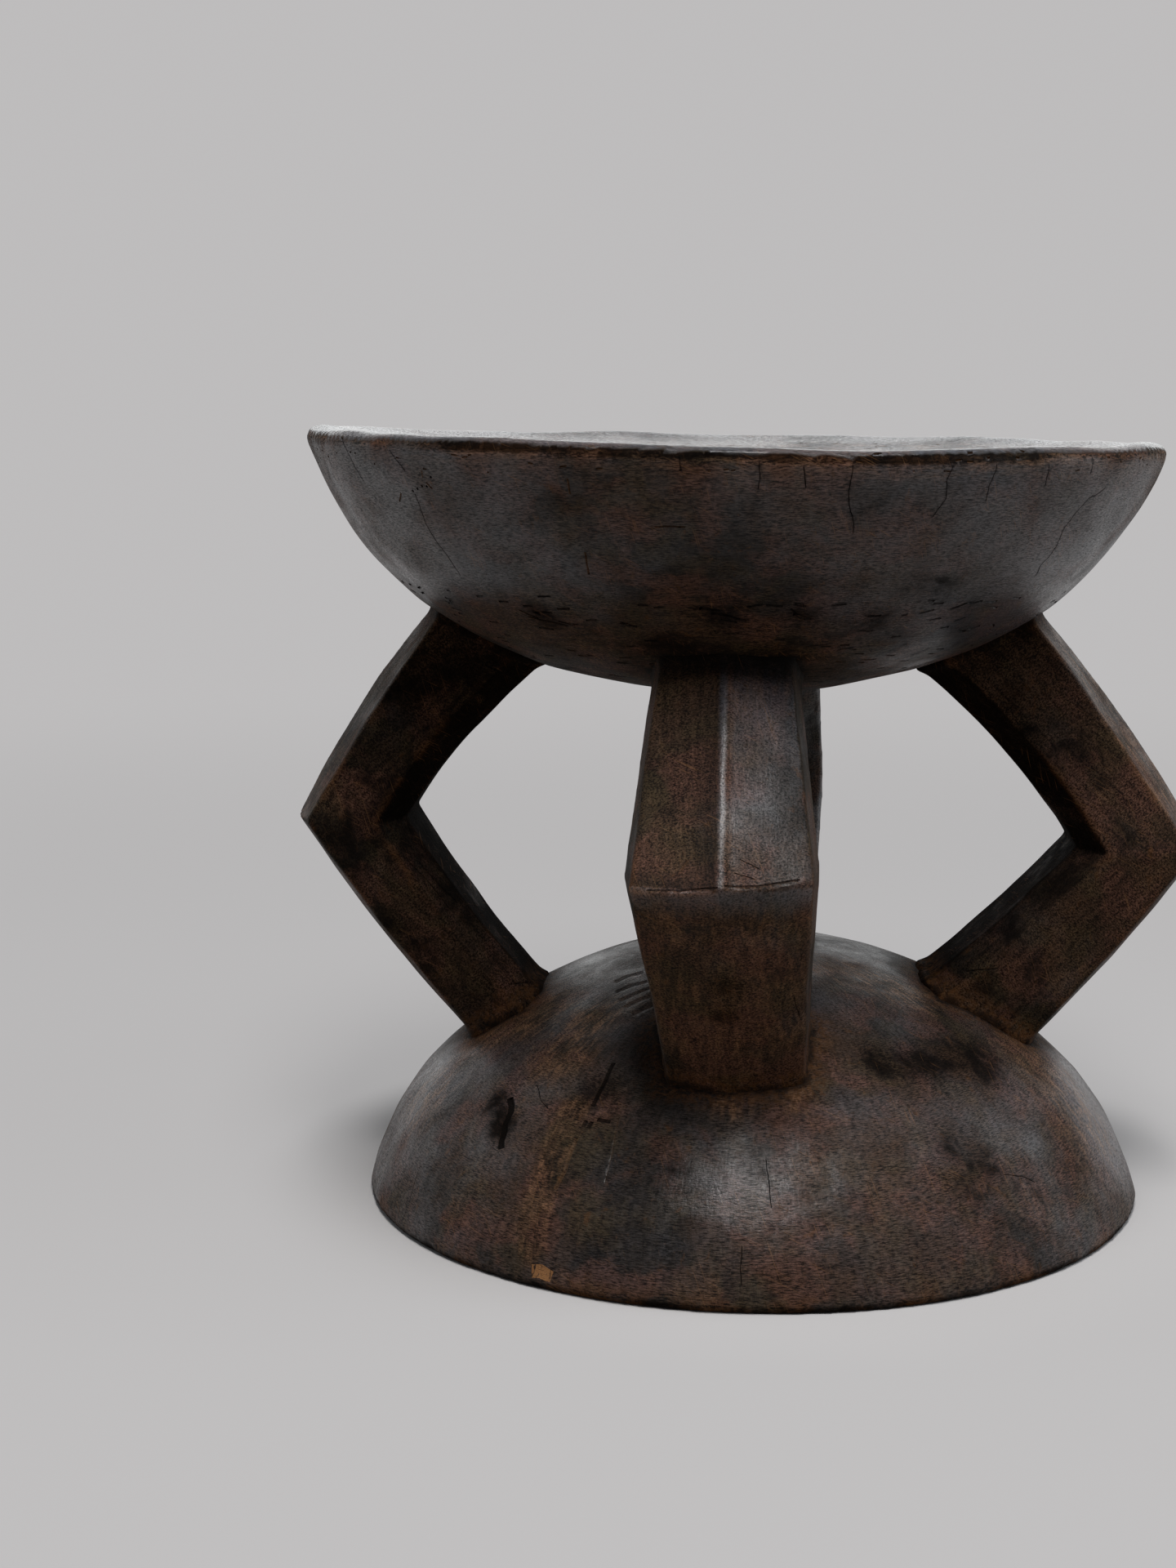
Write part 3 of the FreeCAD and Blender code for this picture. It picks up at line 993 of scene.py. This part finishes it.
seat_gouges = [
    [(-83, 240.5), (-80, 239), (-76, 237.5)],
    [(-80, 238), (-74, 236.5), (-66, 235)],
    [(-78, 240), (-75, 239)],
    [(-46, 237), (-41, 236)],
    [(-20, 243), (-16, 242.5), (-12, 242)],
    [(-15, 241), (-9, 240.5), (-3, 238.5)],
    [(-12, 239), (-6, 238)],
    [(12, 243), (15, 241), (17, 240)],
    [(14, 241), (19, 239.5)],
    [(76, 232), (81, 233)],
    [(68, 241.4), (73, 243), (80, 243.5)],
]
cut(
    seat,
    "seat",
    seat_wood,
    seat_gouges,
    width=1.0 * mm,
    depth=0.7 * mm,
    wander=2 * mm,
    strewn_density=7000.0,
    strewn_low=206 * mm,
    strewn_high=246 * mm,
    strewn_length=5 * mm,
    seed=4,
    mark="crack",
    shade=0.8,
)
seat_chips = [
    [(-33, 272), (-28, 272.2), (-23, 272)],
    [(-57, 263), (-56, 255)],
    [(-114.3, 289.4), (-114, 287)],
    [(-112.9, 285.6), (-110.6, 283.4)],
    [(-124.1, 281), (-125.3, 277.7)],
    [(-61.8, 287.6), (-61.1, 282.4)],
]
cut(
    seat,
    "seat",
    seat_wood,
    seat_chips,
    width=0.8 * mm,
    depth=0.5 * mm,
    strewn_density=12000.0,
    strewn_low=290 * mm,
    strewn_high=296 * mm,
    strewn_length=2.2 * mm,
    seed=7,
    mark="bare",
    shade=0.2,
)
worm_places = [(-119, 282), (-117, 283), (-115, 284), (-113, 284), (-111, 287)]
worm_holes = [[(x, z), (x + 0.6, z + 0.3)] for x, z in worm_places]
cut(seat, "seat", seat_wood, worm_holes, width=0.9 * mm, depth=2 * mm, mark="crack")
seat_stains = spots_on(
    "seat",
    [(-12, 240, 18), (15, 241, 14), (-75, 238, 16), (-30, 228, 22), (10, 226, 24), (40, 238, 16)],
)
seat_smudges = spots_on("seat", [(54, 250, 13), (66, 251.5, 13), (76, 243, 12)])
rim_parts = 72
rim_heights = [0.0] * rim_parts


def rim_part(place):
    """Which of the equal parts of the rim a place lies under."""
    turn = math.atan2(place.y, place.x - seat_axis) / (2 * math.pi)
    return int(turn * rim_parts) % rim_parts


for vertex in seat.data.vertices:
    part = rim_part(vertex.co)
    rim_heights[part] = max(rim_heights[part], vertex.co.z)


def below_rim(place):
    """How far a place lies below the part of the rim beside it."""
    return rim_heights[rim_part(place)] - place.z


def in_dish(place, outward):
    facing_up, dish_from = 0.6, 270 * mm
    return outward.z > facing_up and place.z > dish_from


def seat_polish_and_sheen(place, outward):
    """The dish shines from sitters, and the left and right flanks of the bowl from the hands that lift it;
    the same field paints a blue-grey sheen on them, a little more on the right.
    """
    dish, middle, flanks, edges, right = 0.63, 0.30, 0.20, 0.25, 0.06
    if in_dish(place, outward):
        return dish
    off_axis = abs(place.x - seat_axis)
    flank = middle + flanks * ramp(off_axis, 35 * mm, 100 * mm) - edges * ramp(off_axis, 125 * mm, 160 * mm)
    flank += right * ramp(place.x, 10 * mm, 40 * mm)
    worn_down_to = 228 * mm - 22 * mm * ramp(place.x, 10 * mm, 50 * mm)
    flank *= ramp(place.z, worn_down_to, worn_down_to + 22 * mm)
    return flank * ramp(below_rim(place), 2 * mm, 6 * mm)


def seat_grime_and_shade(place, outward):
    """A dark line is painted under the rim's edge, the belly is painted darker towards its bottom where the
    legs begin, and real stains and smudges lie on it.
    """
    belly_darkening, stain_dirt, smudge_dirt, right_loss = 0.3, 0.66, 0.4, 0.7
    lip = ramp(5.2 * mm - below_rim(place), 0.0, 1 * mm) * ramp(0.8 - outward.z, 0.0, 0.2)
    lip *= ramp(place.x, -128 * mm, -105 * mm) * (1.0 - right_loss * ramp(place.x, 45 * mm, 110 * mm))
    belly = belly_darkening * ramp(246 * mm - place.z, 0.0, 20 * mm) * ramp(100 * mm - abs(place.x), 0.0, 40 * mm)
    stains = stain_dirt * patches(place, seat_stains)
    return max(lip, belly, stains, smudge_dirt * patches(place, seat_smudges))


def seat_scraped(place, outward):
    """Just below the rim's edge the wood is chipped and shows brighter."""
    below = below_rim(place)
    band = ramp(below, 2 * mm, 4 * mm) * ramp(11 * mm - below, 0.0, 6 * mm)
    left_share, right_gain = 0.7, 0.3
    bright = left_share + right_gain * ramp(place.x, 0.0, 60 * mm)
    return band * ramp(place.x, -128 * mm, -105 * mm) * bright


def seat_strokes(place, outward):
    """Outside, the knife went round the bowl. In the dish, wavering growth rings lie round the pith."""
    girth, pith_x, pith_y = 130 * mm, 14 * mm, 11 * mm
    if not in_dish(place, outward):
        return round_strokes(place, seat_axis, girth, 1.0)
    x, y = place.x - seat_axis - pith_x, place.y - pith_y
    turn = math.atan2(y, x)
    waver = 1.0 + 0.06 * math.sin(2 * turn + 0.8) + 0.03 * math.sin(5 * turn)
    ring = math.hypot(x, y) * waver
    return Vector((girth * math.cos(turn), girth * math.sin(turn), ring))


mark_skin(
    seat,
    stroke=seat_strokes,
    polish=seat_polish_and_sheen,
    grime=seat_grime_and_shade,
    scraped=seat_scraped,
)
seat.data.set_sharp_from_angle(angle=sharpest_smooth)
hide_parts("seat")
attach(seat, "root")
for scaffold in (legs_round_base, dome_and_bowl, legs_round_seat):
    bpy.data.objects.remove(scaffold)

# The studio: a pale grey floor that runs into a backdrop of the same grey, soft light from above and both
# sides, and a camera that looks slightly down at the stool from a little above its rim.
backdrop_grey = (0.515, 0.505, 0.507, 1.0)
bounce_grey = (0.36, 0.31, 0.25, 1.0)
room_grey = (0.09, 0.09, 0.095, 1.0)
air_grey = (0.115, 0.117, 0.12, 1.0)
floor_reach, fade_near, fade_far, even_share = 12.0, 0.4, 1.8, 0.72
contact_near, contact_far = 0.15, 0.21
floor_sides = 96
turns = [2 * math.pi * i / floor_sides for i in range(floor_sides)]
corners = [(floor_reach * math.cos(turn), floor_reach * math.sin(turn), 0.0) for turn in turns]
floor_mesh = bpy.data.meshes.new("floor")
floor_mesh.from_pydata(corners, [], [list(range(floor_sides))])
floor = placed("floor", floor_mesh)
floor_paint = bpy.data.materials.new("floor_paint")
floor_paint.use_nodes = True
paint = floor_paint.node_tree
paint.nodes.remove(paint.nodes["Principled BSDF"])
spot = add(paint, "ShaderNodeTexCoord").outputs["Object"]
distance = add(paint, "ShaderNodeVectorMath", {0: spot}, operation="LENGTH").outputs["Value"]
rays = add(paint, "ShaderNodeLightPath").outputs
mirrored = maths(paint, "MAXIMUM", rays["Is Glossy Ray"], rays["Is Transmission Ray"])
seen = maths(paint, "MAXIMUM", rays["Is Camera Ray"], mirrored)
matt = add(paint, "ShaderNodeBsdfDiffuse", {"Color": over(paint, seen, bounce_grey, backdrop_grey)})
glow = add(paint, "ShaderNodeEmission", {"Color": backdrop_grey, "Strength": 1.0})
clear = share_of(paint, eased(paint, distance, contact_near, contact_far), even_share)
fade = total(paint, start=clear, far=(1.0 - even_share, eased(paint, distance, fade_near, fade_far)))
far = maths(paint, "MULTIPLY", fade, seen)
blend = add(paint, "ShaderNodeMixShader", {0: far, 1: matt.outputs[0], 2: glow.outputs[0]})
paint.links.new(blend.outputs[0], paint.nodes["Material Output"].inputs["Surface"])
floor_mesh.materials.append(floor_paint)

world = bpy.data.worlds.new("studio")
world.use_nodes = True
bpy.context.scene.world = world
air = world.node_tree
sky = air.nodes["Background"]
rays = add(air, "ShaderNodeLightPath").outputs
way = add(air, "ShaderNodeTexCoord").outputs["Generated"]
backward = add(air, "ShaderNodeSeparateXYZ", {0: way}).outputs["Y"]
mirrored = maths(air, "MAXIMUM", rays["Is Glossy Ray"], rays["Is Transmission Ray"])
room = over(air, eased(air, backward, -0.5, 0.4), room_grey, backdrop_grey)
light = over(air, mirrored, air_grey, room)
air.links.new(over(air, rays["Is Camera Ray"], light, backdrop_grey), sky.inputs["Color"])


def softbox(name, place, aim, size, watts, tint):
    lamp = bpy.data.lights.new(name, "AREA")
    lamp.shape = "RECTANGLE"
    lamp.size, lamp.size_y = size
    lamp.energy = watts
    lamp.color = tint
    holder = placed(name, lamp)
    holder.location = place
    holder.rotation_euler = (Vector(aim) - Vector(place)).to_track_quat("-Z", "Y").to_euler()
    holder.visible_camera = False


stool_middle, rim_middle = (0.0, 0.0, 0.15), (0.0, 0.0, 0.3)
softbox("overhead", (0.05, -0.75, 1.65), stool_middle, size=(0.32, 1.0), watts=27.0, tint=(1.0, 0.985, 0.97))
softbox("high_window", (0.85, -0.4, 1.5), stool_middle, size=(0.7, 0.7), watts=4.2, tint=(0.93, 0.97, 1.0))
softbox("left_window", (-2.0, 0.5, 0.9), stool_middle, size=(1.0, 1.4), watts=3.2, tint=(0.86, 0.93, 1.0))
softbox("right_window", (2.0, 0.3, 0.9), stool_middle, size=(1.0, 1.4), watts=8.0, tint=(0.9, 0.95, 1.0))
softbox("back_panel", (0.0, 2.4, 0.75), rim_middle, size=(3.0, 1.0), watts=11.0, tint=(0.97, 1.0, 1.0))

camera = placed("camera", bpy.data.cameras.new("camera"))
camera.location = (0.0, -0.93377, 0.3072)
camera.rotation_euler = Vector((-0.0698, 0.98565, -0.15369)).to_track_quat("-Z", "Y").to_euler()
camera.data.lens = 54.09
camera.data.sensor_width = 36.0
bpy.context.scene.camera = camera
bpy.context.scene.view_settings.view_transform = "Standard"
